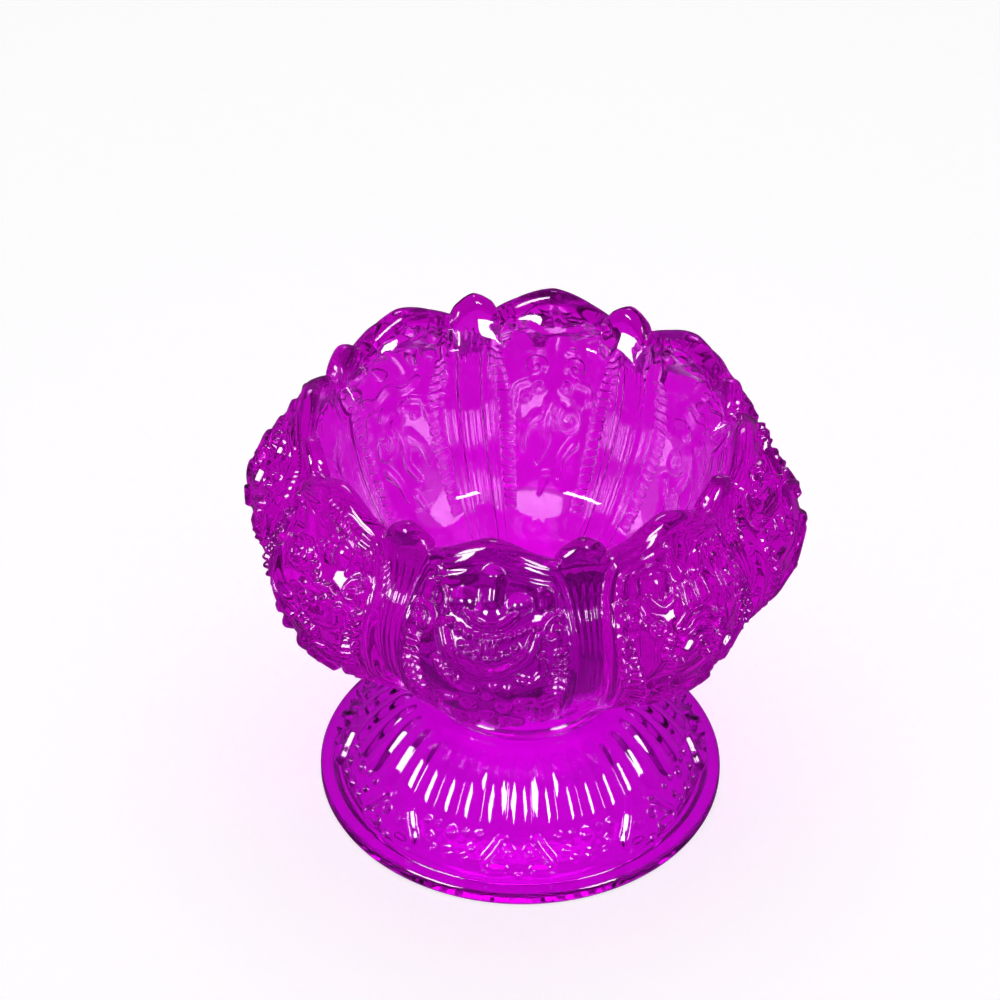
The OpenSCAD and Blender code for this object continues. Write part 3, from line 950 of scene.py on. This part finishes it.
# Camera, from a fit to the photographed outline, in degrees and millimetres
CAMERA_AZIMUTH = 7.54
CAMERA_ELEVATION = 42.58
CAMERA_DISTANCE = 438.46
CAMERA_PITCH = 37.04
CAMERA_YAW = -0.63
CAMERA_ROLL = -0.4
FOCAL_PIXELS = 2711
PHOTO_PIXELS = 1000
SENSOR_MM = 36
CLIP_START = 0.01


def make_camera():
    data = bpy.data.cameras.new("camera")
    data.sensor_fit = "HORIZONTAL"
    data.sensor_width = SENSOR_MM
    data.lens = FOCAL_PIXELS / PHOTO_PIXELS * SENSOR_MM
    data.clip_start = CLIP_START
    camera = bpy.data.objects.new("camera", data)
    bpy.context.scene.collection.objects.link(camera)
    bpy.context.scene.camera = camera
    e, pitch, yaw, roll = np.radians((CAMERA_ELEVATION, CAMERA_PITCH, CAMERA_YAW, CAMERA_ROLL))
    level = Matrix(((1, 0, 0), (0, 0, 1), (0, -1, 0)))
    tilt = Matrix.Rotation(roll, 3, "Z") @ Matrix.Rotation(pitch, 3, "X")
    look = tilt @ Matrix.Rotation(yaw, 3, "Y") @ level
    distance = CAMERA_DISTANCE * MM
    place = Matrix.Translation((0, -distance * math.cos(e), distance * math.sin(e)))
    turn = Matrix.Rotation(math.radians(CAMERA_AZIMUTH), 4, "Z")
    camera.matrix_world = turn @ place @ look.transposed().to_4x4()


# Lamps

def overhead(radiance, side, height):
    """A wide soft light from above for the floor."""
    lamp = bpy.data.lights.new("overhead", "AREA")
    lamp.size = side
    lamp.energy = radiance * math.pi * side * side
    light = bpy.data.objects.new("overhead", lamp)
    light.visible_glossy = False
    light.location = (0, 0, height)
    bpy.context.scene.collection.objects.link(light)


def softbox(name, azimuth, elevation, distance, width, height, radiance):
    """A lamp seen as a bright window, aimed at the bowl. The azimuth is from
    the camera's side, towards the right."""
    lamp = bpy.data.lights.new(name, "AREA")
    lamp.shape = "RECTANGLE"
    lamp.size = width
    lamp.size_y = height
    lamp.energy = radiance * math.pi * width * height
    light = bpy.data.objects.new(name, lamp)
    light.visible_diffuse = False
    light.visible_transmission = False
    bpy.context.scene.collection.objects.link(light)
    a = math.radians(azimuth + CAMERA_AZIMUTH)
    e = math.radians(elevation)
    way = np.array([math.sin(a) * math.cos(e), -math.cos(a) * math.cos(e), math.sin(e)])
    aim = Matrix.Rotation(a, 4, "Z") @ Matrix.Rotation(math.pi / 2 - e, 4, "X")
    light.matrix_world = Matrix.Translation(way * distance + np.array([0, 0, AIM_H])) @ aim
    return light


def make_lamps():
    overhead(radiance=1.4, side=1.2, height=0.9)
    softbox("window_left", azimuth=-46, elevation=31, distance=0.6, width=0.26, height=0.2, radiance=26)
    softbox("window_right", azimuth=44, elevation=31, distance=0.6, width=0.16, height=0.2, radiance=26)
    softbox("window_top", azimuth=180, elevation=62, distance=0.6, width=0.3, height=0.1, radiance=8)
    # Only rays that have passed glass see this one. It brightens the back of
    # the cavity.
    front = softbox("window_front", azimuth=0, elevation=45, distance=0.8,
                    width=1.2, height=1.0, radiance=11)
    front.visible_camera = False
    front.visible_glossy = False
    front.visible_transmission = True


# Flat faces at which the pieces are fused, as (radius, height)
JOINTS = [
    (BOWL_SEAT_R, BOWL_Z),
    (BOWL_SEAT_R, BOWL_Z - FACE_GAP),
    (FOOT_SEAT_R, FOOT_H + FACE_GAP),
    (FOOT_SEAT_R, FOOT_H),
]

fused = joint_glass()
make_camera()
make_world()
make_floor()
make_lamps()

# The cavity's paler inner tint paints a lilac sheen onto its back wall
cavity_glass_painted_sheen = glass("cavity_glass_painted_sheen", CAVITY_PAINTED_SHEEN_TINT, BOWL_IOR, BOWL_WAVE_SCALE)
for node, (rings, outer_rings), slot, tint, ior, wave_scale in (
    ("bowl", bowl_rings(), "bowl_glass", BOWL_TINT, BOWL_IOR, BOWL_WAVE_SCALE),
    ("neck_wafer", wafer_rings(), "wafer_glass", FOOT_TINT, FOOT_IOR, WAFER_WAVE_SCALE),
    ("foot", foot_rings(), "foot_glass", FOOT_TINT, FOOT_IOR, FOOT_WAVE_SCALE),
):
    piece = build_skin(node + "_skin", rings, outer_rings, JOINTS)
    piece.data.materials.append(glass(slot, tint, ior, wave_scale))
    piece.data.materials.append(fused)
    if outer_rings < len(rings):
        piece.data.materials.append(cavity_glass_painted_sheen)
    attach(piece, "root")
    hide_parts(node)

bpy.context.scene.view_settings.view_transform = "Standard"
